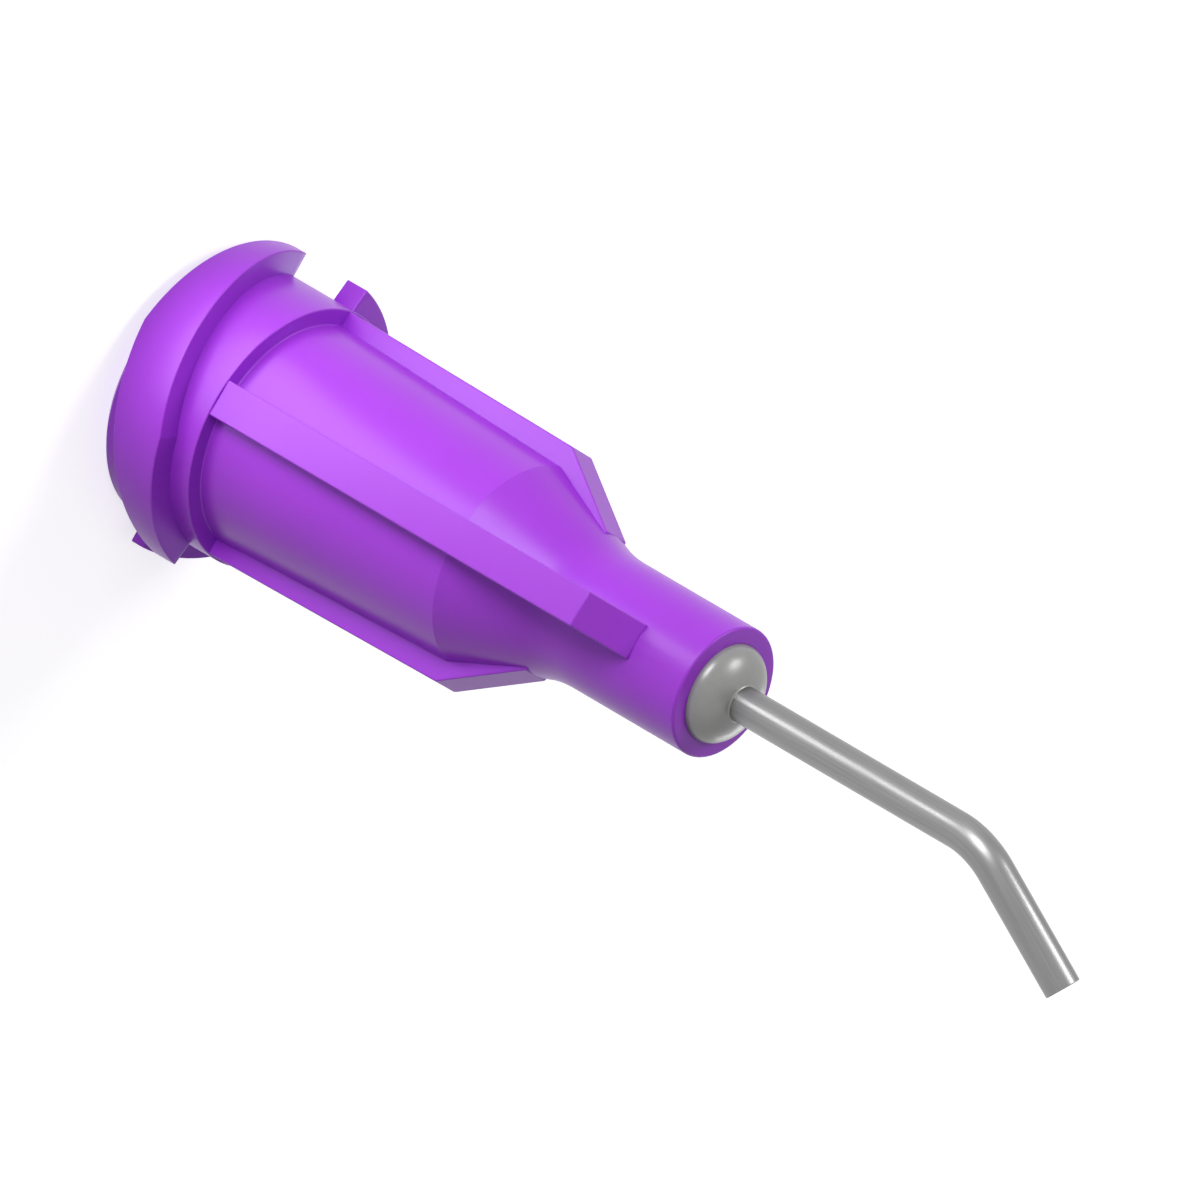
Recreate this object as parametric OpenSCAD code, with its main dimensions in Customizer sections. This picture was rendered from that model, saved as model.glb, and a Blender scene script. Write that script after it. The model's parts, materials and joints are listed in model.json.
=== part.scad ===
// Dispensing needle tip: a moulded hub with a female Luer lock, a bent steel
// needle that runs through its nozzle, and the bead of adhesive that bonds the
// two. The open Luer end stands on z = 0, the axis of the hub is +Z, and the
// needle bends towards +X. Lengths are in millimetres and angles in degrees.

/* [Luer collar] */
// Outer diameter of the collar that carries the lock lugs
collar_d = 6.6; // [6.2:0.05:6.8]
// Height of the collar above the open end
collar_height = 2.86; // [2.4:0.02:3.6]
// Chamfer round the foot of the collar
collar_chamfer = 0.15; // [0.05:0.01:0.3]

/* [Lock lugs] */
// Diameter over the two lugs
lug_d = 7.83; // [7.3:0.01:8.1]
// Rise of the lugs in one full turn of their right-hand helix
lug_lead = 5; // [3.5:0.1:6]
// Thickness of a lug between its two flanks
lug_thickness = 1.48; // [1:0.02:1.8]
// Arc that each lug covers
lug_arc = 170; // [100:1:174]
// Angle from the direction of the bend to the low end of the first lug
lug_start = 137; // [0:1:360]
// Height of the upper flank at the low end of a lug
lug_low_flank = 0.72; // [0.6:0.02:1]
// Height of the flat that cuts off the bottom of the lugs
lug_floor = 0.32; // [0.2:0.02:0.5]
// Height of the flat that cuts off the top of the lugs
lug_ceiling = 2.26; // [1.9:0.02:2.36]

/* [Hub body] */
// Overall height of the hub, from the open end to the face of the nozzle
hub_height = 17.14; // [15.5:0.02:20]
// Diameter of the body where it leaves the collar
body_d = 5.78; // [5.4:0.02:6.1]
// Diameter of the body at its shoulder, smaller by the draft of the mould
shoulder_d = 5.28; // [4.8:0.02:5.4]
// Height of the shoulder, where the cone starts
shoulder_height = 10.25; // [9:0.05:11.5]
// Angle between the side of the cone and the axis
cone_angle = 21; // [18:1:35]
// Radius of the blend between the cone and the nozzle
neck_radius = 2.87; // [0.5:0.01:4]
// Outer diameter of the nozzle
nozzle_d = 3.32; // [3:0.02:3.8]
// Chamfer round the face of the nozzle
nozzle_chamfer = 0.07; // [0.02:0.01:0.15]

/* [Ribs] */
// Width of a rib
rib_width = 0.92; // [0.5:0.02:1.4]
// Distance across two opposite ribs at the shoulder
rib_span = 6.28; // [5.7:0.02:6.4]
// How far the corners of a rib lie inside the edge of the collar
rib_inset = 0.02; // [0.01:0.01:0.2]
// Angle from the direction of the bend to the first long rib
rib_turn = 45; // [0:5:180]
// Distance from the face of the nozzle down to the end of a long rib
long_rib_setback = 1.68; // [0.6:0.02:2.4]
// Angle between the sloped end of a long rib and the axis
long_rib_slope = 59; // [40:1:75]

/* [Bore of the hub] */
// Diameter of the Luer socket at its mouth
socket_mouth_d = 4.3; // [4.2:0.01:4.4]
// Taper of the Luer socket, as loss of diameter over length
socket_taper = 0.06; // [0.05:0.002:0.07]
// Depth of the Luer socket
socket_depth = 9; // [7.5:0.1:9.5]
// Chamfer round the mouth of the socket
mouth_chamfer = 0.15; // [0.05:0.01:0.3]
// Angle between the side of the inner funnel and the axis
funnel_angle = 32; // [28:1:50]
// Diameter of the adhesive well in the face of the nozzle
well_d = 2.49; // [1.8:0.01:2.7]
// Depth of the adhesive well
well_depth = 1.5; // [0.6:0.05:2.2]

/* [Needle] */
// Outer diameter of the needle
needle_od = 0.89; // [0.7:0.01:1.1]
// Wall of the needle
needle_wall = 0.18; // [0.08:0.01:0.25]
// Radial clearance of the needle in the hole of the hub
needle_clearance = 0.02; // [0.01:0.005:0.05]
// Distance that the needle stands into the funnel
needle_tail = 0.25; // [0:0.05:0.6]
// Straight length of the needle from the face of the nozzle to the bend
straight_length = 7.58; // [4:0.02:20]
// Radius of the bend, at the centre line of the needle
bend_radius = 1.79; // [1:0.01:6]
// Angle of the bend
bend_angle = 45; // [15:1:90]
// Straight length of the needle beyond the bend
tip_length = 3.12; // [1.5:0.02:8]

/* [Adhesive] */
// Height of the domed bead above the face of the nozzle
bead_height = 0.65; // [0.3:0.01:1.1]

/* [Hidden] */
$fn = 96;
// Overlap of a cut beyond the face that it opens, and of a root inside its wall
over = 0.3;
// Arc of one flat step along the helical flanks
flank_step = 5;
// Steps along the curved side of the bead
bead_steps = 14;

collar_r = collar_d / 2;
lug_r = lug_d / 2;
shoulder_r = shoulder_d / 2;
nozzle_r = nozzle_d / 2;
well_r = well_d / 2;
needle_r = needle_od / 2;
hole_r = needle_r + needle_clearance;
well_floor = hub_height - well_depth;

// The sides of the cone and of the nozzle would meet at this height, and the
// blend touches both of them at this distance from there.
neck_corner = shoulder_height + (shoulder_r - nozzle_r) / tan(cone_angle);
neck_reach = neck_radius * tan(cone_angle / 2);
neck_centre = [nozzle_r + neck_radius, neck_corner + neck_reach];
cone_end = neck_centre - neck_radius * [cos(cone_angle), sin(cone_angle)];

// The outer face of a rib is flat. Its corners start just inside the edge of
// the collar, and it leans in by the same draft all the way up.
rib_foot_r = sqrt(pow(collar_r - rib_inset, 2) - pow(rib_width / 2, 2));
rib_draft = (rib_foot_r - rib_span / 2) / (shoulder_height - collar_height);
rib_root = nozzle_r - over;
long_rib_end = hub_height - long_rib_setback;
long_rib_corner = rib_corner_height();

socket_end_r = (socket_mouth_d - socket_taper * socket_depth) / 2;
funnel_end = socket_depth + (socket_end_r - hole_r) / tan(funnel_angle);

needle_foot = funnel_end - needle_tail;
bend_height = hub_height + straight_length;

// Distance from the axis to the outer face of a rib at a height
function rib_face(height) = rib_foot_r - rib_draft * (height - collar_height);

// Height at which the outer face of a long rib meets its sloped end
function rib_corner_height() =
    let (steepness = tan(long_rib_slope))
    (steepness * long_rib_end + nozzle_r - rib_face(0)) / (steepness - rib_draft);

// Height of the upper flank of a lug at an angle from its low end
function flank_height(angle) = lug_low_flank + lug_lead * angle / 360;

// Point on a circle round the axis
function on_circle(radius, angle, height) = [radius * cos(angle), radius * sin(angle), height];

// The four corners of a lug's section at an angle from its low end, drawn
// wider than the lug so that its own cylinder trims them
function flank_corners(angle) =
    let (top = flank_height(angle), bottom = top - lug_thickness)
    [
        on_circle(collar_r - 2 * over, angle, bottom),
        on_circle(lug_r + over, angle, bottom),
        on_circle(lug_r + over, angle, top),
        on_circle(collar_r - 2 * over, angle, top),
    ];

// Solid between the two helical flanks of a lug
module flank_band() {
    angles = [-flank_step : flank_step : lug_arc + 2 * flank_step];
    corners = [for (angle = angles) each flank_corners(angle)];
    last = len(corners) - 4;
    sides = [
        for (first = [0 : 4 : last - 4], side = [0 : 3])
        let (a = first + side, b = first + (side + 1) % 4)
        each [[a, b, b + 4], [a, b + 4, a + 4]]
    ];
    ends = [[3, 2, 1, 0], [last, last + 1, last + 2, last + 3]];
    polyhedron(points = corners, faces = concat(sides, ends), convexity = 4);
}

// One lock lug: a sector of a ring, flat at its ends, top and bottom, that
// keeps only what lies between the helical flanks
module lug() {
    intersection() {
        rotate_extrude(angle = lug_arc)
            translate([collar_r - over, lug_floor])
                square([lug_r - collar_r + over, lug_ceiling - lug_floor]);
        flank_band();
    }
}

// Outline of the hub from the axis outwards, with its neck blended by an arc
module hub_outline() {
    difference() {
        polygon([
            [0, 0],
            [collar_r - collar_chamfer, 0],
            [collar_r, collar_chamfer],
            [collar_r, collar_height],
            [body_d / 2, collar_height],
            [shoulder_r, shoulder_height],
            cone_end,
            neck_centre,
            [nozzle_r, neck_centre[1]],
            [nozzle_r, hub_height - nozzle_chamfer],
            [nozzle_r - nozzle_chamfer, hub_height],
            [0, hub_height],
        ]);
        translate(neck_centre) circle(neck_radius);
    }
}

// Outline of the space inside the hub: tapered socket, funnel, hole for the
// needle and well for the adhesive
module bore_outline() {
    polygon([
        [0, -over],
        [socket_mouth_d / 2 + mouth_chamfer, -over],
        [socket_mouth_d / 2 + mouth_chamfer, 0],
        [(socket_mouth_d - socket_taper * mouth_chamfer) / 2, mouth_chamfer],
        [socket_end_r, socket_depth],
        [hole_r, funnel_end],
        [hole_r, well_floor],
        [well_r, well_floor],
        [well_r, hub_height + over],
        [0, hub_height + over],
    ]);
}

// Stands an outline of a rib on the hub and gives it its width
module rib(turn) {
    rotate([0, 0, turn])
        rotate([90, 0, 0])
            linear_extrude(height = rib_width, center = true)
                children();
}

// Outline of a rib that ends with the cone
module short_rib_outline() {
    polygon([
        [rib_root, collar_height - over],
        [rib_foot_r - over, collar_height - over],
        [rib_foot_r, collar_height],
        [rib_face(shoulder_height), shoulder_height],
        cone_end,
        [rib_root, cone_end[1]],
    ]);
}

// Outline of a rib that runs on along the nozzle
module long_rib_outline() {
    polygon([
        [rib_root, collar_height - over],
        [rib_foot_r - over, collar_height - over],
        [rib_foot_r, collar_height],
        [rib_face(long_rib_corner), long_rib_corner],
        [nozzle_r, long_rib_end],
        [rib_root, long_rib_end],
    ]);
}

// The moulded hub, one piece of polypropylene
module hub() {
    color("darkorchid")
        difference() {
            union() {
                rotate_extrude() hub_outline();
                for (side = [0, 180]) {
                    rotate([0, 0, lug_start + side]) lug();
                    rib(rib_turn + side) long_rib_outline();
                    rib(rib_turn + 90 + side) short_rib_outline();
                }
            }
            rotate_extrude() bore_outline();
        }
}

// Section of the needle's tube. Its circles start a quarter turn round, on the
// side of the plane of the bend, so that the bend meets both straight lengths
// on a clean edge.
module tube_section() {
    rotate(90)
        difference() {
            circle(needle_r);
            circle(needle_r - needle_wall);
        }
}

// The steel needle: a tube with one bend. Its two straight lengths are drawn
// from the ends of the bend outwards.
module needle() {
    color("silver")
        translate([0, 0, bend_height]) {
            rotate([180, 0, 0])
                linear_extrude(height = bend_height - needle_foot) tube_section();
            translate([bend_radius, 0, 0]) {
                rotate([90, 0, 0])
                    rotate([0, 0, 180 - bend_angle])
                        rotate_extrude(angle = bend_angle)
                            translate([bend_radius, 0]) tube_section();
                rotate([0, bend_angle, 0])
                    translate([-bend_radius, 0, 0])
                        linear_extrude(height = tip_length) tube_section();
            }
        }
}

// The cured adhesive: it fills the well round the needle and stands above the
// nozzle as a dome
module adhesive_bead() {
    lip = acos(needle_r / well_r);
    dome = [
        for (step = [0 : bead_steps])
        let (angle = lip * step / bead_steps)
        [well_r * cos(angle), bead_height * sin(angle)]
    ];
    color("gray")
        translate([0, 0, hub_height])
            rotate_extrude()
                polygon(concat([[needle_r, -well_depth], [well_r, -well_depth]], dome));
}

hub();
needle();
adhesive_bead();
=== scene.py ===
"""Looks of a dispensing needle tip: moulded hub, bent steel needle and bead of adhesive.

The part stands on the open Luer end of its hub. The axis of the hub is +Z and the
needle bends towards +X. Every length below is in metres.
"""

import json
import logging
import math
from dataclasses import dataclass
from enum import Enum

import bmesh
import bpy
from mathutils import Matrix, Vector


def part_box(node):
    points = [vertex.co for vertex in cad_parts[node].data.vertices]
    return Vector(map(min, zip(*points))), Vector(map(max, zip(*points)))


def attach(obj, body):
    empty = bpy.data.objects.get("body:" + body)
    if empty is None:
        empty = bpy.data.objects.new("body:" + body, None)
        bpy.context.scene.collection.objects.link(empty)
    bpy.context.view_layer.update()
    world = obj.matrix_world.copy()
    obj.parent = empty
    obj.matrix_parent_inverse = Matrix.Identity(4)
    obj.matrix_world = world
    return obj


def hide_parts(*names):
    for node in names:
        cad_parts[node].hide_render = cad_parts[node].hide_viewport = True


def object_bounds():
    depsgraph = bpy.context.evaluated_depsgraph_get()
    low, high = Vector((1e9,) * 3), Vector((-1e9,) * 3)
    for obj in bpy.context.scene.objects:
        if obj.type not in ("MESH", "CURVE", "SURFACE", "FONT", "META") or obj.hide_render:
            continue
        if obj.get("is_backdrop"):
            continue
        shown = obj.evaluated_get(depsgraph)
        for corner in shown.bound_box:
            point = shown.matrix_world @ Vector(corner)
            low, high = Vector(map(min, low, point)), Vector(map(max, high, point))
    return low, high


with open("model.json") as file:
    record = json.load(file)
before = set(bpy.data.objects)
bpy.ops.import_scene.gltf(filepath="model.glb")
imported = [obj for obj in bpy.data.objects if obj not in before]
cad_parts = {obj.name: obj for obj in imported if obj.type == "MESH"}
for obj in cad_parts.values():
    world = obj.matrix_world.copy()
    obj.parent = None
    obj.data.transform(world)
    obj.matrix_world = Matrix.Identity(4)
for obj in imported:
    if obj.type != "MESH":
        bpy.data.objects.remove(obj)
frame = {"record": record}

MM = 0.001
BODY = "root"
SLIVER = 0.0005 * MM  # points closer than this are one point
STRAIGHT = math.radians(0.5)  # a corner that turns by less than this isn't rounded
TUBE_PLACE = "tube_place"  # attribute: place on the tube as if it were straight

Outline = list[tuple[float, float]]
Colour = tuple[float, float, float]
Socket = bpy.types.NodeSocket

log = logging.getLogger("needle_tip")


# ---------------------------------------------------------------- small helpers


@dataclass(frozen=True)
class Corner:
    """A corner of a turned outline: its radius from the axis, its height and its rounding."""

    radius: float
    height: float
    rounding: float = 0.0


def rounded_outline(corners: list[Corner], step_deg: float = 9.0) -> Outline:
    """Rounds the corners of a closed outline with arcs.

    Args:
        corners: The outline's corners, in order round the loop.
        step_deg: The largest turn between two points of an arc, in degrees.

    Returns:
        The points of the rounded outline, as radius and height.
    """
    points: Outline = []
    places = [Vector((corner.radius, corner.height)) for corner in corners]
    for i, corner in enumerate(corners):
        here = places[i]
        before = (places[i - 1] - here).normalized()
        after = (places[(i + 1) % len(places)] - here).normalized()
        inside = before.angle(after)
        sweep = math.pi - inside
        if corner.rounding <= 0 or sweep < STRAIGHT:
            points.append((here.x, here.y))
            continue
        reach = corner.rounding / math.tan(inside / 2)
        centre = here + (before + after).normalized() * corner.rounding / math.sin(inside / 2)
        start = here + before * reach - centre
        end = here + after * reach - centre
        turn = math.copysign(sweep, start.x * end.y - start.y * end.x)
        steps = max(2, math.ceil(math.degrees(sweep) / step_deg))
        for k in range(steps + 1):
            a = turn * k / steps
            points.append((
                centre.x + start.x * math.cos(a) - start.y * math.sin(a),
                centre.y + start.x * math.sin(a) + start.y * math.cos(a),
            ))
    return points


def turned_mesh(name: str, outline: Outline, segments: int) -> bpy.types.Object:
    """Turns a closed outline round the Z axis into a ring-shaped solid.

    Args:
        name: The name of the new object.
        outline: Radius and height of each point of the closed outline.
        segments: Number of flats round the axis.

    Returns:
        The new mesh object, linked to the scene.
    """
    mesh = bmesh.new()
    rings = []
    for s in range(segments):
        a = 2 * math.pi * s / segments
        rings.append([mesh.verts.new((r * math.cos(a), r * math.sin(a), z)) for r, z in outline])
    count = len(outline)
    for s in range(segments):
        ring, following = rings[s], rings[(s + 1) % segments]
        for i in range(count):
            j = (i + 1) % count
            mesh.faces.new((ring[i], following[i], following[j], ring[j]))
    return finish_mesh(mesh, name)


def finish_mesh(mesh: bmesh.types.BMesh, name: str) -> bpy.types.Object:
    """Merges doubled points, turns faces outwards and links the mesh as an object.

    Args:
        mesh: The mesh to finish. It is freed.
        name: The name of the new object.

    Returns:
        The new mesh object, linked to the scene.
    """
    bmesh.ops.remove_doubles(mesh, verts=mesh.verts, dist=SLIVER)
    bmesh.ops.recalc_face_normals(mesh, faces=mesh.faces)
    data = bpy.data.meshes.new(name)
    mesh.to_mesh(data)
    mesh.free()
    return linked_object(name, data)


def linked_object(
    name: str, data: bpy.types.Mesh | bpy.types.Light | bpy.types.Camera
) -> bpy.types.Object:
    """Makes an object of its data and links it to the scene.

    Args:
        name: The name of the new object.
        data: The mesh, light or camera that the object shows.

    Returns:
        The new object.
    """
    made = bpy.data.objects.new(name, data)
    bpy.context.scene.collection.objects.link(made)
    return made


def bake_modifiers(piece: bpy.types.Object) -> bpy.types.Object:
    """Turns an object's modifiers into plain mesh.

    Args:
        piece: The object whose modifiers are baked and removed.

    Returns:
        The same object, with no modifiers left.
    """
    bpy.context.view_layer.update()
    evaluated = piece.evaluated_get(bpy.context.evaluated_depsgraph_get())
    data = bpy.data.meshes.new_from_object(evaluated)
    old = piece.data
    piece.modifiers.clear()
    piece.data = data
    data.name = piece.name
    bpy.data.meshes.remove(old)
    return piece


def shade(piece: bpy.types.Object, sharp_angle: float) -> None:
    """Drops a mesh's slivers and shades it smooth, apart from its edges above an angle.

    Args:
        piece: The mesh object.
        sharp_angle: Edges between faces that turn by more than this stay sharp.
    """
    mesh = bmesh.new()
    mesh.from_mesh(piece.data)
    bmesh.ops.dissolve_degenerate(mesh, dist=SLIVER, edges=mesh.edges)
    bmesh.ops.triangulate(mesh, faces=[face for face in mesh.faces if len(face.verts) > 4])
    bmesh.ops.dissolve_degenerate(mesh, dist=SLIVER, edges=mesh.edges)
    for face in mesh.faces:
        face.smooth = True
    for edge in mesh.edges:
        edge.smooth = len(edge.link_faces) == 2 and edge.calc_face_angle() < sharp_angle
    mesh.to_mesh(piece.data)
    mesh.free()


def weigh_normals(piece: bpy.types.Object) -> None:
    """Lets the larger faces set the shading of the smooth corners between faces.

    Args:
        piece: The shaded mesh object.
    """
    weighted = piece.modifiers.new("weighted_normals", "WEIGHTED_NORMAL")
    weighted.mode = "FACE_AREA"
    weighted.keep_sharp = True
    bake_modifiers(piece)


# ---------------------------------------------------------------- node trees for shapes


def set_input(modifier: bpy.types.Modifier, name: str, value: object) -> None:
    """Sets a Geometry Nodes modifier's input, found by its name, through its identifier.

    Args:
        modifier: The modifier that holds the tree.
        name: The input's name in the tree.
        value: The input's new value.

    Raises:
        KeyError: The tree has no input of that name.
    """
    for item in modifier.node_group.interface.items_tree:
        if item.item_type == "SOCKET" and item.in_out == "INPUT" and item.name == name:
            modifier[item.identifier] = value
            return
    raise KeyError(name)


def new_tree(name: str, inputs: dict[str, tuple[str, float | int | None]]) -> bpy.types.NodeTree:
    """Makes an empty geometry tree with a geometry input and output.

    Args:
        name: The tree's name.
        inputs: For each further input, its socket type and default value.

    Returns:
        The new tree, which holds only its group input and output.
    """
    tree = bpy.data.node_groups.new(name, "GeometryNodeTree")
    tree.interface.new_socket("Geometry", in_out="INPUT", socket_type="NodeSocketGeometry")
    for label, (kind, default) in inputs.items():
        socket = tree.interface.new_socket(label, in_out="INPUT", socket_type=kind)
        if default is not None:
            socket.default_value = default
    tree.interface.new_socket("Geometry", in_out="OUTPUT", socket_type="NodeSocketGeometry")
    return tree


def end_tree(tree: bpy.types.NodeTree, source: bpy.types.Node, shape: Socket) -> None:
    """Ends a geometry tree: its copies become real, and take on the tree's material.

    Args:
        tree: The tree to end.
        source: The tree's group input, which holds the Material.
        shape: The geometry that the tree has made.
    """
    realize = tree.nodes.new("GeometryNodeRealizeInstances")
    tree.links.new(shape, realize.inputs[0])
    dress = tree.nodes.new("GeometryNodeSetMaterial")
    tree.links.new(realize.outputs[0], dress.inputs["Geometry"])
    tree.links.new(source.outputs["Material"], dress.inputs["Material"])
    result = tree.nodes.new("NodeGroupOutput")
    tree.links.new(dress.outputs[0], result.inputs[0])


def turned_copies_tree() -> bpy.types.NodeTree:
    """Builds the tree that repeats a moulded feature evenly round the axis of the hub.

    Returns:
        A tree with the inputs Count, First Turn and Material.
    """
    tree = new_tree("turned_copies", {
        "Count": ("NodeSocketInt", 2),
        "First Turn": ("NodeSocketFloat", 0.0),
        "Material": ("NodeSocketMaterial", None),
    })
    add, link = tree.nodes.new, tree.links.new
    source = add("NodeGroupInput")
    points = add("GeometryNodePoints")
    link(source.outputs["Count"], points.inputs["Count"])
    index = add("GeometryNodeInputIndex")
    spacing = add("ShaderNodeMath")
    spacing.operation = "DIVIDE"
    spacing.inputs[0].default_value = 2 * math.pi
    link(source.outputs["Count"], spacing.inputs[1])
    turn = add("ShaderNodeMath")
    turn.operation = "MULTIPLY_ADD"
    link(index.outputs["Index"], turn.inputs[0])
    link(spacing.outputs[0], turn.inputs[1])
    link(source.outputs["First Turn"], turn.inputs[2])
    euler = add("ShaderNodeCombineXYZ")
    link(turn.outputs[0], euler.inputs["Z"])
    rotation = add("FunctionNodeEulerToRotation")
    link(euler.outputs[0], rotation.inputs[0])
    copies = add("GeometryNodeInstanceOnPoints")
    link(points.outputs[0], copies.inputs["Points"])
    link(source.outputs["Geometry"], copies.inputs["Instance"])
    link(rotation.outputs[0], copies.inputs["Rotation"])
    end_tree(tree, source, copies.outputs[0])
    return tree


def swept_tube_tree() -> bpy.types.NodeTree:
    """Builds the tree that rounds a path's corner and sweeps a circle along it.

    The points of the tube keep where they would lie if it were straight, in the
    attribute TUBE_PLACE, so that a finish can follow the tube round its bend.

    Returns:
        A tree with the inputs Radius, Bend Radius, Bend Steps, Segments and Material.
    """
    tree = new_tree("swept_tube", {
        "Radius": ("NodeSocketFloat", 0.4 * MM),
        "Bend Radius": ("NodeSocketFloat", 2 * MM),
        "Bend Steps": ("NodeSocketInt", 24),
        "Segments": ("NodeSocketInt", 64),
        "Material": ("NodeSocketMaterial", None),
    })
    add, link = tree.nodes.new, tree.links.new
    source = add("NodeGroupInput")
    path = add("GeometryNodeMeshToCurve")
    link(source.outputs["Geometry"], path.inputs["Mesh"])
    bend = add("GeometryNodeFilletCurve")
    bend.mode = "POLY"
    link(path.outputs[0], bend.inputs["Curve"])
    link(source.outputs["Bend Steps"], bend.inputs["Count"])
    link(source.outputs["Bend Radius"], bend.inputs["Radius"])
    along = add("GeometryNodeSplineParameter")
    keep_length = add("GeometryNodeCaptureAttribute")
    keep_length.capture_items.new("FLOAT", "Length")
    link(bend.outputs[0], keep_length.inputs["Geometry"])
    link(along.outputs["Length"], keep_length.inputs["Length"])
    circle = add("GeometryNodeCurvePrimitiveCircle")
    link(source.outputs["Segments"], circle.inputs["Resolution"])
    link(source.outputs["Radius"], circle.inputs["Radius"])
    place = add("GeometryNodeInputPosition")
    keep_place = add("GeometryNodeCaptureAttribute")
    keep_place.capture_items.new("VECTOR", "Place")
    link(circle.outputs[0], keep_place.inputs["Geometry"])
    link(place.outputs[0], keep_place.inputs["Place"])
    sweep = add("GeometryNodeCurveToMesh")
    link(keep_length.outputs["Geometry"], sweep.inputs["Curve"])
    link(keep_place.outputs["Geometry"], sweep.inputs["Profile Curve"])
    split = add("ShaderNodeSeparateXYZ")
    link(keep_place.outputs["Place"], split.inputs[0])
    straight = add("ShaderNodeCombineXYZ")
    link(split.outputs["X"], straight.inputs["X"])
    link(split.outputs["Y"], straight.inputs["Y"])
    link(keep_length.outputs["Length"], straight.inputs["Z"])
    store = add("GeometryNodeStoreNamedAttribute")
    store.data_type = "FLOAT_VECTOR"
    store.domain = "POINT"
    store.inputs["Name"].default_value = TUBE_PLACE
    link(sweep.outputs[0], store.inputs["Geometry"])
    link(straight.outputs[0], store.inputs["Value"])
    end_tree(tree, source, store.outputs[0])
    return tree


# ---------------------------------------------------------------- finishes


@dataclass(frozen=True)
class Noise:
    """A noise pattern: features per metre, octaves of finer noise and their strength."""

    per_metre: float
    octaves: float
    roughness: float = 0.5


@dataclass(frozen=True)
class Spread:
    """The part of a noise value that is spread from one result to another."""

    start: float = 0.3
    end: float = 0.7


WIDE = Spread(0.1, 0.9)


class ShaderSheet:
    """A material's node tree, with short calls that add and join its nodes."""

    def __init__(self, name: str) -> None:
        """Makes a material with a principled shader that feeds its output.

        Args:
            name: The material's name.
        """
        self.material = bpy.data.materials.new(name)
        self.material.use_nodes = True
        self.nodes = self.material.node_tree.nodes
        self.links = self.material.node_tree.links
        self.nodes.clear()
        self.surface = self.nodes.new("ShaderNodeBsdfPrincipled")
        output = self.nodes.new("ShaderNodeOutputMaterial")
        self.links.new(self.surface.outputs[0], output.inputs["Surface"])

    def set(self, **values: object) -> None:
        """Sets constant inputs of the shader, named with _ for a space."""
        for name, value in values.items():
            self.surface.inputs[name.replace("_", " ")].default_value = value

    def object_place(self) -> Socket:
        """Returns the place on the piece, in metres."""
        return self.nodes.new("ShaderNodeTexCoord").outputs["Object"]

    def drawn_out(self, place: Socket, along: float) -> Socket:
        """Draws a pattern out along the Z axis.

        Args:
            place: The place to scale.
            along: Scale along Z, where less than 1 makes the pattern longer.

        Returns:
            The scaled place.
        """
        mapping = self.nodes.new("ShaderNodeMapping")
        mapping.inputs["Scale"].default_value = (1.0, 1.0, along)
        self.links.new(place, mapping.inputs["Vector"])
        return mapping.outputs[0]

    def noise(self, place: Socket, pattern: Noise) -> Socket:
        """Adds a noise texture.

        Args:
            place: Where the texture is read.
            pattern: The noise's scale, detail and roughness.

        Returns:
            The noise value, from 0 to 1.
        """
        texture = self.nodes.new("ShaderNodeTexNoise")
        texture.inputs["Scale"].default_value = pattern.per_metre
        texture.inputs["Detail"].default_value = pattern.octaves
        texture.inputs["Roughness"].default_value = pattern.roughness
        self.links.new(place, texture.inputs["Vector"])
        return texture.outputs["Fac"]

    def ranged(
        self, value: Socket, low: float = 0.0, high: float = 1.0, spread: Spread = Spread()
    ) -> Socket:
        """Spreads a value between two limits.

        Args:
            value: The value to spread.
            low: Result at and below the start of the spread.
            high: Result at and above the end of the spread.
            spread: The part of the value that is spread.

        Returns:
            The spread value.
        """
        node = self.nodes.new("ShaderNodeMapRange")
        node.inputs["From Min"].default_value = spread.start
        node.inputs["From Max"].default_value = spread.end
        node.inputs["To Min"].default_value = low
        node.inputs["To Max"].default_value = high
        self.links.new(value, node.inputs["Value"])
        return node.outputs["Result"]

    def blend(self, factor: Socket, first: Colour, second: Colour) -> Socket:
        """Blends two colours.

        Args:
            factor: 0 for the first colour, 1 for the second.
            first: The first colour.
            second: The second colour.

        Returns:
            The blended colour.
        """
        mix = self.nodes.new("ShaderNodeMix")
        mix.data_type = "RGBA"
        mix.inputs[6].default_value = (*first, 1.0)
        mix.inputs[7].default_value = (*second, 1.0)
        self.links.new(factor, mix.inputs[0])
        return mix.outputs[2]

    def bump(self, height: Socket, depth: float, strength: float) -> Socket:
        """Adds a bump.

        Args:
            height: Height of the surface, from 0 to 1.
            depth: Depth of the bump, in metres.
            strength: Share of the bump that shows.

        Returns:
            The bumped normal.
        """
        node = self.nodes.new("ShaderNodeBump")
        node.inputs["Distance"].default_value = depth
        node.inputs["Strength"].default_value = strength
        self.links.new(height, node.inputs["Height"])
        return node.outputs[0]

    def feed(self, value: Socket, name: str) -> None:
        """Joins a value to one of the shader's inputs."""
        self.links.new(value, self.surface.inputs[name])


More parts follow.
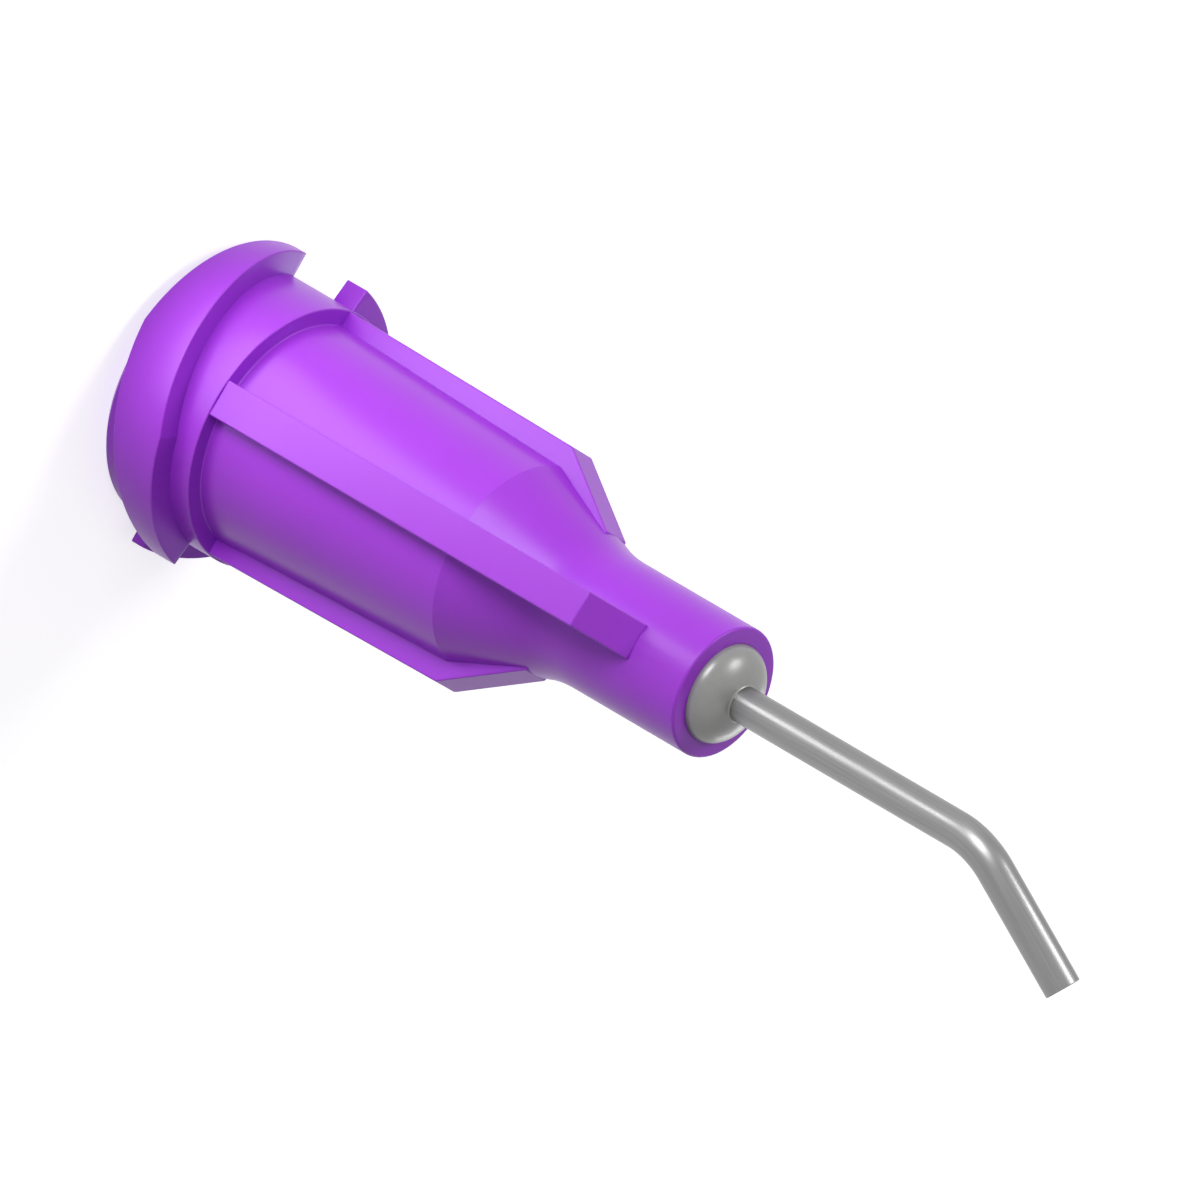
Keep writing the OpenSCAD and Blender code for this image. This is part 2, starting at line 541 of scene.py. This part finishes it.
@dataclass(frozen=True)
class MouldedPolypropylene:
    """Satin polypropylene, coloured through, as it comes from a fine eroded mould."""

    slot: str = "hub_plastic"
    pigment: Colour = (0.335, 0.038, 0.63)
    pigment_deep: Colour = (0.305, 0.032, 0.58)
    cloud: Noise = Noise(420.0, 4.0, 0.6)
    refraction: float = 1.49
    shine: float = 0.35
    roughest: float = 0.36
    smoothest: float = 0.29
    flow: Noise = Noise(900.0, 3.0, 0.6)
    flow_along: float = 0.22
    grain: Noise = Noise(9000.0, 1.0)
    grain_depth: float = 0.0006 * MM
    grain_strength: float = 0.6
    glow_share: float = 0.06  # light that goes into the plastic and comes out again
    glow_depth: float = 0.1 * MM
    glow_reach: Colour = (1.0, 0.35, 0.9)

    def material(self) -> bpy.types.Material:
        """Builds the material.

        Returns:
            The plastic of the hub.
        """
        sheet = ShaderSheet("moulded_polypropylene")
        sheet.set(IOR=self.refraction, Specular_IOR_Level=self.shine)
        sheet.set(Subsurface_Weight=self.glow_share, Subsurface_Scale=self.glow_depth)
        sheet.set(Subsurface_Radius=self.glow_reach)
        place = sheet.object_place()
        cloud = sheet.ranged(sheet.noise(place, self.cloud), spread=WIDE)
        sheet.feed(sheet.blend(cloud, self.pigment_deep, self.pigment), "Base Color")
        flow = sheet.noise(sheet.drawn_out(place, self.flow_along), self.flow)
        sheet.feed(sheet.ranged(flow, self.smoothest, self.roughest, WIDE), "Roughness")
        grain = sheet.noise(place, self.grain)
        sheet.feed(sheet.bump(grain, self.grain_depth, self.grain_strength), "Normal")
        return sheet.material


@dataclass(frozen=True)
class DrawnSteel:
    """Stainless steel tube, drawn along its length."""

    slot: str = "needle_steel"
    steel: Colour = (0.28, 0.28, 0.28)
    steel_dull: Colour = (0.23, 0.23, 0.23)
    roughest: float = 0.38
    smoothest: float = 0.29
    lines: Noise = Noise(22000.0, 3.0, 0.6)
    lines_along: float = 0.02
    line_depth: float = 0.0008 * MM
    line_strength: float = 0.5
    patches: Noise = Noise(1800.0, 2.0)
    patches_along: float = 0.3

    def material(self) -> bpy.types.Material:
        """Builds the material.

        Returns:
            The steel of the needle, drawn along the tube.
        """
        sheet = ShaderSheet("drawn_steel")
        sheet.set(Metallic=1.0)
        attribute = sheet.nodes.new("ShaderNodeAttribute")
        attribute.attribute_name = TUBE_PLACE
        place = attribute.outputs["Vector"]
        lines = sheet.noise(sheet.drawn_out(place, self.lines_along), self.lines)
        sheet.feed(sheet.blend(sheet.ranged(lines), self.steel_dull, self.steel), "Base Color")
        patches = sheet.noise(sheet.drawn_out(place, self.patches_along), self.patches)
        sheet.feed(sheet.ranged(patches, self.smoothest, self.roughest), "Roughness")
        sheet.feed(sheet.bump(lines, self.line_depth, self.line_strength), "Normal")
        return sheet.material


@dataclass(frozen=True)
class CuredAdhesive:
    """Grey adhesive with the smooth skin of a drop that set where it flowed."""

    slot: str = "bead_adhesive"
    grey: Colour = (0.27, 0.27, 0.265)
    grey_deep: Colour = (0.235, 0.235, 0.23)
    cloud: Noise = Noise(1300.0, 4.0, 0.6)
    refraction: float = 1.6
    shine: float = 0.8
    roughest: float = 0.34
    smoothest: float = 0.29
    skin: Noise = Noise(7000.0, 1.0)
    skin_depth: float = 0.0005 * MM
    skin_strength: float = 0.6

    def material(self) -> bpy.types.Material:
        """Builds the material.

        Returns:
            The adhesive of the bead.
        """
        sheet = ShaderSheet("cured_adhesive")
        sheet.set(IOR=self.refraction, Specular_IOR_Level=self.shine)
        place = sheet.object_place()
        cloud = sheet.noise(place, self.cloud)
        sheet.feed(sheet.blend(sheet.ranged(cloud), self.grey_deep, self.grey), "Base Color")
        sheet.feed(sheet.ranged(cloud, self.smoothest, self.roughest), "Roughness")
        skin = sheet.noise(place, self.skin)
        sheet.feed(sheet.bump(skin, self.skin_depth, self.skin_strength), "Normal")
        return sheet.material


# ---------------------------------------------------------------- the hub


class RibKind(Enum):
    """The two lengths of rib that alternate round the hub."""

    LONG = "long"
    SHORT = "short"


@dataclass
class LuerHub:
    """The moulded hub: Luer collar with two lock lugs, body, cone, nozzle and four ribs."""

    height: float
    lug_radius: float
    edge: float = 0.035 * MM  # rounding of the moulded edges
    edge_steps: int = 4
    sharp_angle: float = math.radians(24)
    segments: int = 144
    # outside, from the collar up
    collar_radius: float = 3.3 * MM
    collar_height: float = 2.86 * MM
    collar_chamfer: float = 0.15 * MM
    body_radius: float = 2.89 * MM
    shoulder_radius: float = 2.64 * MM
    shoulder_height: float = 10.25 * MM
    cone_angle: float = math.radians(21)
    neck_radius: float = 2.87 * MM
    nozzle_radius: float = 1.66 * MM
    nozzle_rounding: float = 0.07 * MM
    # inside, from the nozzle down
    well_radius: float = 1.245 * MM
    well_depth: float = 1.5 * MM
    hole_radius: float = 0.465 * MM
    funnel_angle: float = math.radians(32)
    socket_radius: float = 2.15 * MM
    socket_taper: float = 0.06  # on the diameter
    socket_depth: float = 9.0 * MM
    # ribs
    rib_width: float = 0.92 * MM
    rib_reach: float = 3.14 * MM  # axis to outer face, at the shoulder
    rib_inset: float = 0.02 * MM  # inside the collar's outline, at the foot
    rib_turn: float = math.radians(45)
    rib_root: float = 0.3 * MM  # how far a rib reaches into the wall
    rib_edge_angle: float = math.radians(15)
    long_rib_setback: float = 1.68 * MM
    long_rib_slope: float = math.radians(59)
    # lock lugs
    lug_lead: float = 5.0 * MM
    lug_thickness: float = 1.48 * MM
    lug_arc_deg: float = 170.0
    lug_start_deg: float = 137.0
    lug_step_deg: float = 2.5
    lug_crease_deg: float = 0.3  # from a crease to the sections beside it
    lug_low_flank: float = 0.72 * MM  # height of the upper flank at the low end
    lug_floor: float = 0.32 * MM
    lug_ceiling: float = 2.26 * MM
    lug_root: float = 0.25 * MM  # how far a lug reaches into the collar
    lug_corner_steps: int = 6
    least_rounding: float = 0.02  # share of edge that is left at a lug's ends

    @classmethod
    def from_frame(cls) -> "LuerHub":
        """Sizes the hub by the construction model's hub."""
        low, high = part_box("hub")
        return cls(height=high.z - low.z, lug_radius=(high.x - low.x) / 2)

    @property
    def neck_corner(self) -> float:
        """Height at which the cone and the nozzle would meet with no blend."""
        narrowing = self.shoulder_radius - self.nozzle_radius
        return self.shoulder_height + narrowing / math.tan(self.cone_angle)

    @property
    def neck_start(self) -> tuple[float, float]:
        """Finds where the cone runs into the neck's blend.

        Returns:
            Radius and height of that place.
        """
        reach = self.neck_radius * math.tan(self.cone_angle / 2)
        radius = self.nozzle_radius + reach * math.sin(self.cone_angle)
        return radius, self.neck_corner - reach * math.cos(self.cone_angle)

    def wall(self) -> bpy.types.Object:
        """Turns the hub's wall: its outside and its bore, with rounded edges.

        Returns:
            The wall, with no ribs or lugs on it.
        """
        socket_end = self.socket_radius - self.socket_taper * self.socket_depth / 2
        funnel_end = self.socket_depth + (socket_end - self.hole_radius) / math.tan(self.funnel_angle)
        well_floor = self.height - self.well_depth
        mouth = self.socket_radius + self.collar_chamfer
        outline = rounded_outline([
            Corner(mouth, 0.0, self.edge),
            Corner(self.collar_radius - self.collar_chamfer, 0.0, self.edge),
            Corner(self.collar_radius, self.collar_chamfer, self.edge),
            Corner(self.collar_radius, self.collar_height, self.edge),
            Corner(self.body_radius, self.collar_height, self.edge),
            Corner(self.shoulder_radius, self.shoulder_height, 2 * self.edge),
            Corner(self.nozzle_radius, self.neck_corner, self.neck_radius),
            Corner(self.nozzle_radius, self.height, self.nozzle_rounding),
            Corner(self.well_radius, self.height, self.edge / 2),
            Corner(self.well_radius, well_floor),
            Corner(self.hole_radius, well_floor),
            Corner(self.hole_radius, funnel_end, 2 * self.edge),
            Corner(socket_end, self.socket_depth, 4 * self.edge),
            Corner(self.socket_radius, self.collar_chamfer, self.edge),
        ])
        return turned_mesh("moulded_hub", outline, self.segments)

    @property
    def rib_foot(self) -> float:
        """Distance from the axis to a rib's outer face, where it meets the collar."""
        return math.sqrt((self.collar_radius - self.rib_inset) ** 2 - (self.rib_width / 2) ** 2)

    @property
    def rib_lean(self) -> float:
        """How far a rib's outer face comes in, per metre of height."""
        return (self.rib_foot - self.rib_reach) / (self.shoulder_height - self.collar_height)

    def rib_face(self, height: float) -> float:
        """Returns the distance from the axis to a rib's outer face at a height."""
        return self.rib_foot - self.rib_lean * (height - self.collar_height)

    def rib_outline(self, kind: RibKind) -> Outline:
        """Lists a rib's outline, from its buried root outwards.

        Args:
            kind: Which of the two lengths of rib.

        Returns:
            Radius and height of each corner.
        """
        root = (self.socket_radius + self.shoulder_radius) / 2
        narrow_root = self.nozzle_radius - self.rib_root
        foot = self.collar_height - self.rib_root
        start = [
            (root, foot),
            (self.rib_face(self.collar_height) - self.rib_root, foot),
            (self.rib_face(self.collar_height), self.collar_height),
        ]
        if kind is RibKind.SHORT:
            cone_radius, cone_height = self.neck_start
            end = [
                (self.rib_face(self.shoulder_height), self.shoulder_height),
                (cone_radius, cone_height),
                (narrow_root, cone_height),
            ]
        else:
            top = self.height - self.long_rib_setback
            steepness = math.tan(self.long_rib_slope)
            rise = steepness * top + self.nozzle_radius - self.rib_face(0.0)
            corner = rise / (steepness - self.rib_lean)
            end = [
                (self.rib_face(corner), corner),
                (self.nozzle_radius, top),
                (narrow_root, top),
            ]
        inner = [
            (narrow_root, self.neck_corner - 2 * self.rib_root),
            (root, self.socket_depth + self.rib_root),
        ]
        return start + end + inner

    def ribs(self, kind: RibKind, material: bpy.types.Material) -> bpy.types.Object:
        """Makes the two opposite ribs of one length, with their edges rounded.

        Args:
            kind: Which of the two lengths of rib.
            material: The hub's material.

        Returns:
            A mesh object that holds both ribs.
        """
        mesh = bmesh.new()
        outline = self.rib_outline(kind)
        sides = []
        for y in (-self.rib_width / 2, self.rib_width / 2):
            sides.append([mesh.verts.new((r, y, z)) for r, z in outline])
        mesh.faces.new(sides[0])
        mesh.faces.new(list(reversed(sides[1])))
        for i in range(len(outline)):
            j = (i + 1) % len(outline)
            mesh.faces.new((sides[0][i], sides[1][i], sides[1][j], sides[0][j]))
        rib = finish_mesh(mesh, f"{kind.value}_ribs")
        rounding = rib.modifiers.new("rounded_edges", "BEVEL")
        rounding.width = self.edge
        rounding.segments = self.edge_steps
        rounding.limit_method = "ANGLE"
        rounding.angle_limit = self.rib_edge_angle
        turn = self.rib_turn if kind is RibKind.LONG else self.rib_turn + math.pi / 2
        return self.repeat(rib, turn, material)

    def repeat(
        self, feature: bpy.types.Object, turn: float, material: bpy.types.Material
    ) -> bpy.types.Object:
        """Repeats a feature on both sides of the hub.

        Args:
            feature: The feature, drawn towards +X.
            turn: The angle of its first copy, in radians.
            material: The hub's material.

        Returns:
            The feature's object, which now holds both copies.
        """
        copies = feature.modifiers.new("turned_copies", "NODES")
        copies.node_group = bpy.data.node_groups.get("turned_copies") or turned_copies_tree()
        set_input(copies, "Count", 2)
        set_input(copies, "First Turn", turn)
        set_input(copies, "Material", material)
        return bake_modifiers(feature)

    def lug_rows(self) -> list[tuple[float, float]]:
        """Lists the sections along a lug.

        Returns:
            The angle of each section from the lug's low end, in degrees, and how far
            the section is drawn in there to round the lug's end.
        """
        degrees_per_metre = math.degrees(1) / self.lug_radius
        ends = []
        for k in range(self.edge_steps + 1):
            t = math.radians(90 * k / self.edge_steps)
            along = self.edge * (1 - math.cos(t)) * degrees_per_metre
            ends.append((along, self.edge * (1 - math.sin(t))))
        first = ends[-1][0]
        last = self.lug_arc_deg - first
        # creases: where the upper flank meets the ceiling, and the lower one leaves the floor
        creases = [
            (self.lug_ceiling - self.lug_low_flank) * 360 / self.lug_lead,
            (self.lug_floor - self.lug_low_flank + self.lug_thickness) * 360 / self.lug_lead,
        ]
        near = self.lug_crease_deg
        angles = {crease + beside for crease in creases for beside in (-near, 0.0, near)}
        steps = round((last - first) / self.lug_step_deg)
        for k in range(1, steps):
            angle = first + (last - first) * k / steps
            if all(abs(angle - crease) > 3 * near for crease in creases):
                angles.add(angle)
        middle = [(angle, 0.0) for angle in sorted(angles) if first < angle < last]
        return ends + middle + [(self.lug_arc_deg - angle, inset) for angle, inset in reversed(ends)]

    def lug_section(self, angle: float, inset: float) -> Outline:
        """Lists the section of a lug, with its two outer corners rounded.

        Args:
            angle: Angle from the lug's low end, in degrees.
            inset: How far the section is drawn in from its full size.

        Returns:
            Radius and height of each point, from the root's foot outwards and back.
        """
        flank = self.lug_low_flank + self.lug_lead * angle / 360
        top = min(self.lug_ceiling, flank) - inset
        bottom = max(self.lug_floor, flank - self.lug_thickness) + inset
        rounding = max(self.edge - inset, self.least_rounding * self.edge)
        centre = self.lug_radius - inset - rounding
        root = self.collar_radius - self.lug_root
        points = [(root, bottom)]
        for centre_height, start_deg in ((bottom + rounding, -90), (top - rounding, 0)):
            for k in range(self.lug_corner_steps + 1):
                a = math.radians(start_deg + 90 * k / self.lug_corner_steps)
                height = centre_height + rounding * math.sin(a)
                points.append((centre + rounding * math.cos(a), height))
        return points + [(root, top)]

    def lugs(self, material: bpy.types.Material) -> bpy.types.Object:
        """Makes the two lock lugs, swept along their right-hand helix.

        Args:
            material: The hub's material.

        Returns:
            A mesh object that holds both lugs.
        """
        mesh = bmesh.new()
        rows = []
        for angle, inset in self.lug_rows():
            a = math.radians(angle)
            section = self.lug_section(angle, inset)
            rows.append([mesh.verts.new((r * math.cos(a), r * math.sin(a), z)) for r, z in section])
        count = len(rows[0])
        for row, following in zip(rows, rows[1:]):
            for i in range(count):
                j = (i + 1) % count
                mesh.faces.new((row[i], following[i], following[j], row[j]))
        mesh.faces.new(rows[0])
        mesh.faces.new(rows[-1])
        return self.repeat(finish_mesh(mesh, "lock_lugs"), math.radians(self.lug_start_deg), material)

    def build(self, finish: MouldedPolypropylene) -> bpy.types.Object:
        """Joins the wall, the ribs and the lugs into the one moulding.

        Args:
            finish: The hub's finish.

        Returns:
            The hub, dressed and placed on its body.
        """
        material = finish.material()
        hub = self.wall()
        hub.data.materials.append(material)
        features = [self.lugs(material)] + [self.ribs(kind, material) for kind in RibKind]
        for feature in features:
            union = hub.modifiers.new(feature.name, "BOOLEAN")
            union.operation = "UNION"
            union.solver = "EXACT"
            union.object = feature
        bake_modifiers(hub)
        for feature in features:
            bpy.data.objects.remove(feature)
        shade(hub, self.sharp_angle)
        weigh_normals(hub)
        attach(hub, BODY)
        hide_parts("hub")
        return hub


# ---------------------------------------------------------------- the needle


@dataclass
class BentNeedle:
    """The steel needle: a tube with one bend towards +X."""

    foot: float
    bend_height: float
    outer_radius: float
    tip_length: float
    wall: float = 0.18 * MM
    bend_radius: float = 1.79 * MM
    bend_angle: float = math.radians(45)
    lip_rounding: float = 0.03 * MM
    lip_steps: int = 3
    lip_angle: float = math.radians(60)
    sharp_angle: float = math.radians(40)
    segments: int = 72
    bend_steps: int = 40

    @classmethod
    def from_frame(cls) -> "BentNeedle":
        """Sizes the needle by the construction model's needle and its stated tip.

        Returns:
            The needle, with its bend at the height that ends its tip at the model's top.
        """
        low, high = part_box("needle")
        tip = next(mount for mount in frame["record"]["mounts"] if mount["name"] == "needle_tip")
        radius = tip["dims"]["r_mm"] * MM
        length = tip["dims"]["length_mm"] * MM
        angle = cls.bend_angle
        top_of_tip = high.z - radius * math.sin(angle)
        bend_height = top_of_tip - length * math.cos(angle) - cls.bend_radius * math.sin(angle)
        return cls(foot=low.z, bend_height=bend_height, outer_radius=radius, tip_length=length)

    def path(self) -> bpy.types.Object:
        """Draws the needle's centre line as two straight lengths that meet in a corner.

        Returns:
            An object of two edges, which becomes the needle.
        """
        reach = self.bend_radius * math.tan(self.bend_angle / 2)
        foot = Vector((0.0, 0.0, self.foot))
        corner = Vector((0.0, 0.0, self.bend_height + reach))
        onward = Vector((math.sin(self.bend_angle), 0.0, math.cos(self.bend_angle)))
        tip = corner + onward * (reach + self.tip_length)
        data = bpy.data.meshes.new("bent_needle")
        data.from_pydata([foot, corner, tip], [(0, 1), (1, 2)], [])
        return linked_object("bent_needle", data)

    def build(self, finish: DrawnSteel) -> bpy.types.Object:
        """Sweeps the tube along its path and gives it its wall and rounded lips.

        Args:
            finish: The needle's finish.

        Returns:
            The needle, dressed and placed on its body.
        """
        material = finish.material()
        needle = self.path()
        sweep = needle.modifiers.new("swept_tube", "NODES")
        sweep.node_group = swept_tube_tree()
        set_input(sweep, "Radius", self.outer_radius)
        set_input(sweep, "Bend Radius", self.bend_radius)
        set_input(sweep, "Bend Steps", self.bend_steps)
        set_input(sweep, "Segments", self.segments)
        set_input(sweep, "Material", material)
        bake_modifiers(needle)
        thicken = needle.modifiers.new("tube_wall", "SOLIDIFY")
        thicken.thickness = self.wall
        thicken.offset = -1.0
        lips = needle.modifiers.new("rounded_lips", "BEVEL")
        lips.width = self.lip_rounding
        lips.segments = self.lip_steps
        lips.limit_method = "ANGLE"
        lips.angle_limit = self.lip_angle
        bake_modifiers(needle)
        shade(needle, self.sharp_angle)
        weigh_normals(needle)
        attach(needle, BODY)
        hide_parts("needle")
        return needle


# ---------------------------------------------------------------- the adhesive


@dataclass
class AdhesiveBead:
    """The drop of adhesive that fills the well and domes up round the needle."""

    foot: float
    rim_height: float
    radius: float
    needle_radius: float
    dome_height: float
    meniscus: float = 0.06 * MM  # how far out the adhesive starts to climb the needle
    meniscus_steps: int = 4
    sharp_angle: float = math.radians(35)
    segments: int = 128
    dome_steps: int = 28

    @classmethod
    def from_frame(cls, hub: LuerHub, needle: BentNeedle) -> "AdhesiveBead":
        """Sizes the bead by the construction model's bead and the pieces round it.

        Args:
            hub: The hub whose well the bead fills.
            needle: The needle that stands in the bead.

        Returns:
            The bead, whose dome meets the needle at the construction model's top.
        """
        low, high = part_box("adhesive_bead")
        radius = (high.x - low.x) / 2
        lip = math.sqrt(1 - (needle.outer_radius / radius) ** 2)
        return cls(low.z, hub.height, radius, needle.outer_radius, (high.z - hub.height) / lip)

    def outline(self) -> Outline:
        """Lists the outline of the bead, with a small meniscus up the needle.

        Returns:
            Radius and height of each point, from the needle's foot outwards and back.
        """
        points = [(self.needle_radius, self.foot), (self.radius, self.foot)]
        lip = math.acos((self.needle_radius + self.meniscus) / self.radius)
        for k in range(self.dome_steps + 1):
            a = lip * k / self.dome_steps
            points.append((self.radius * math.cos(a), self.rim_height + self.dome_height * math.sin(a)))
        edge_radius, edge_height = points[-1]
        for k in range(1, self.meniscus_steps + 1):
            t = k / self.meniscus_steps
            climb = self.meniscus * t * t / 2
            points.append((edge_radius - self.meniscus * t, edge_height + climb))
        return points

    def build(self, finish: CuredAdhesive) -> bpy.types.Object:
        """Turns the bead and dresses it.

        Args:
            finish: The bead's finish.

        Returns:
            The bead, dressed and placed on its body.
        """
        bead = turned_mesh("cured_bead", self.outline(), self.segments)
        bead.data.materials.append(finish.material())
        shade(bead, self.sharp_angle)
        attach(bead, BODY)
        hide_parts("adhesive_bead")
        return bead


# ---------------------------------------------------------------- the studio


@dataclass(frozen=True)
class Softbox:
    """A rectangular soft light, which hangs facing a point or lies on the floor."""

    name: str
    place: tuple[float, float, float]
    size: tuple[float, float]
    power: float

    def hang(self, turn: Matrix) -> bpy.types.Object:
        """Makes the light at its place.

        Args:
            turn: The light's rotation, from facing straight down.

        Returns:
            The light.
        """
        lamp = bpy.data.lights.new(self.name, "AREA")
        lamp.shape = "RECTANGLE"
        lamp.size, lamp.size_y = self.size
        lamp.energy = self.power
        light = linked_object(self.name, lamp)
        light.matrix_world = Matrix.Translation(self.place) @ turn.to_4x4()
        return light

    def aim(self, target: Vector) -> None:
        """Hangs the light so that it faces a point."""
        self.hang((target - Vector(self.place)).to_track_quat("-Z", "Y").to_matrix())

    def lay(self, bearing: float) -> None:
        """Lays the light face up, out of the camera's sight, with its length along a bearing."""
        light = self.hang(Matrix.Rotation(bearing, 3, "Z") @ Matrix.Rotation(math.pi, 3, "X"))
        light.visible_camera = False


@dataclass(frozen=True)
class Studio:
    """Pale floor, soft lamps and the camera."""

    middle: Vector
    nozzle_top: float
    # floor and room
    ambient: float = 0.27
    floor_glow: float = 0.66  # what the floor's own light adds to make it white
    floor_colour: Colour = (0.8, 0.8, 0.8)
    floor_width: float = 6.0
    floor_drop: float = 0.01 * MM  # below the hub's foot, so that the two stay apart
    # lamps: the strip lies on the floor, and lights the hub and the needle from below
    key_light: Softbox = Softbox("key_light", (-0.46, -0.18, 0.09), (0.26, 0.16), 1.4)
    top_light: Softbox = Softbox("top_light", (-0.19, 0.27, 0.37), (0.16, 0.16), 0.7)
    back_light: Softbox = Softbox("back_light", (0.42, 0.30, 0.03), (0.34, 0.10), 0.5)
    strip_bearing: float = math.radians(207)
    strip_distance: float = 43.0 * MM
    strip_height: float = 0.3 * MM
    strip_size: tuple[float, float] = (74.0 * MM, 9.0 * MM)
    strip_power: float = 0.0085
    # camera: aside and above are shares of the width of the view
    lens: float = 1500.0
    sensor: float = 36.0
    view_width: float = 27.65 * MM
    roll: float = math.radians(30.35)
    aside: float = -0.1033
    above: float = 0.0775
    nearest: float = 0.01
    farthest: float = 20.0

    def backdrop(self) -> None:
        """Makes the floor white to the camera, apart from the shadow on it."""
        mesh = bmesh.new()
        half = self.floor_width / 2
        corners = [(-half, -half), (half, -half), (half, half), (-half, half)]
        mesh.faces.new([mesh.verts.new((x, y, -self.floor_drop)) for x, y in corners])
        floor = finish_mesh(mesh, "floor")
        material = bpy.data.materials.new("pale_floor")
        material.use_nodes = True
        nodes = material.node_tree.nodes
        links = material.node_tree.links
        nodes.clear()
        matt = nodes.new("ShaderNodeBsdfDiffuse")
        matt.inputs["Color"].default_value = (*self.floor_colour, 1.0)
        glow = nodes.new("ShaderNodeEmission")
        strength = nodes.new("ShaderNodeMath")
        strength.operation = "MULTIPLY"
        strength.inputs[1].default_value = self.floor_glow
        links.new(self.seen_directly(nodes, links), strength.inputs[0])
        links.new(strength.outputs[0], glow.inputs["Strength"])
        both = nodes.new("ShaderNodeAddShader")
        links.new(matt.outputs[0], both.inputs[0])
        links.new(glow.outputs[0], both.inputs[1])
        output = nodes.new("ShaderNodeOutputMaterial")
        links.new(both.outputs[0], output.inputs["Surface"])
        floor.data.materials.append(material)
        floor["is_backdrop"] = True

    @staticmethod
    def seen_directly(nodes: bpy.types.Nodes, links: bpy.types.NodeLinks) -> Socket:
        """Tells rays that show a surface to the eye from those that only light another.

        Args:
            nodes: The nodes of the material or the world.
            links: The links of the same tree.

        Returns:
            1 for rays from the camera and for reflected or refracted ones, and 0 otherwise.
        """
        path = nodes.new("ShaderNodeLightPath")
        total = path.outputs["Is Camera Ray"]
        for name in ("Is Glossy Ray", "Is Transmission Ray"):
            either = nodes.new("ShaderNodeMath")
            either.operation = "MAXIMUM"
            links.new(total, either.inputs[0])
            links.new(path.outputs[name], either.inputs[1])
            total = either.outputs[0]
        return total

    def sky(self) -> None:
        """Fills the room with even light, and shows white to the camera."""
        world = bpy.data.worlds.new("studio")
        bpy.context.scene.world = world
        world.use_nodes = True
        nodes = world.node_tree.nodes
        links = world.node_tree.links
        background = nodes["Background"]
        background.inputs["Color"].default_value = (1.0, 1.0, 1.0, 1.0)
        strength = nodes.new("ShaderNodeMapRange")
        strength.inputs["To Min"].default_value = self.ambient
        strength.inputs["To Max"].default_value = 1.0
        links.new(self.seen_directly(nodes, links), strength.inputs["Value"])
        links.new(strength.outputs["Result"], background.inputs["Strength"])

    def lamps(self) -> None:
        """Hangs the key, top and back lights, and lays the strip on the floor."""
        for box in (self.key_light, self.top_light, self.back_light):
            box.aim(self.middle)
        x = self.strip_distance * math.cos(self.strip_bearing)
        y = self.strip_distance * math.sin(self.strip_bearing)
        place = (x, y, self.strip_height)
        Softbox("floor_strip", place, self.strip_size, self.strip_power).lay(self.strip_bearing)

    def camera(self) -> None:
        """Looks at the part along the diagonal of a cube round it, and rolls the view."""
        back = Vector((-1.0, -1.0, 1.0)).normalized()
        axis_up = (Vector((0.0, 0.0, 1.0)) - back * back.z).normalized()
        across = Vector((-1.0, 1.0, 0.0)).normalized()
        right = axis_up * math.cos(self.roll) + across * math.sin(self.roll)
        up = across * math.cos(self.roll) - axis_up * math.sin(self.roll)
        distance = self.view_width * self.lens / self.sensor
        shift = (right * self.aside + up * self.above) * self.view_width
        target = Vector((0.0, 0.0, self.nozzle_top)) + shift
        data = bpy.data.cameras.new("camera")
        data.lens = self.lens
        data.sensor_width = self.sensor
        data.clip_start = self.nearest
        data.clip_end = self.farthest
        camera = linked_object("camera", data)
        turn = Matrix((right, up, back)).transposed()
        camera.matrix_world = Matrix.Translation(target + back * distance) @ turn.to_4x4()
        bpy.context.scene.camera = camera

    def build(self) -> None:
        """Sets up the whole studio."""
        self.backdrop()
        self.sky()
        self.lamps()
        self.camera()
        bpy.context.scene.view_settings.view_transform = "Standard"


def report_piece(piece: bpy.types.Object) -> None:
    """Logs a piece's name and the number of its faces."""
    log.info("%s: %d faces", piece.name, len(piece.data.polygons))


def main() -> None:
    logging.basicConfig(level=logging.INFO, format="%(name)s: %(message)s")
    cad_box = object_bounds()
    hub = LuerHub.from_frame()
    needle = BentNeedle.from_frame()
    bead = AdhesiveBead.from_frame(hub, needle)
    report_piece(hub.build(MouldedPolypropylene()))
    report_piece(needle.build(DrawnSteel()))
    report_piece(bead.build(CuredAdhesive()))
    Studio(middle=(cad_box[0] + cad_box[1]) / 2, nozzle_top=hub.height).build()


if __name__ == "__main__":
    main()
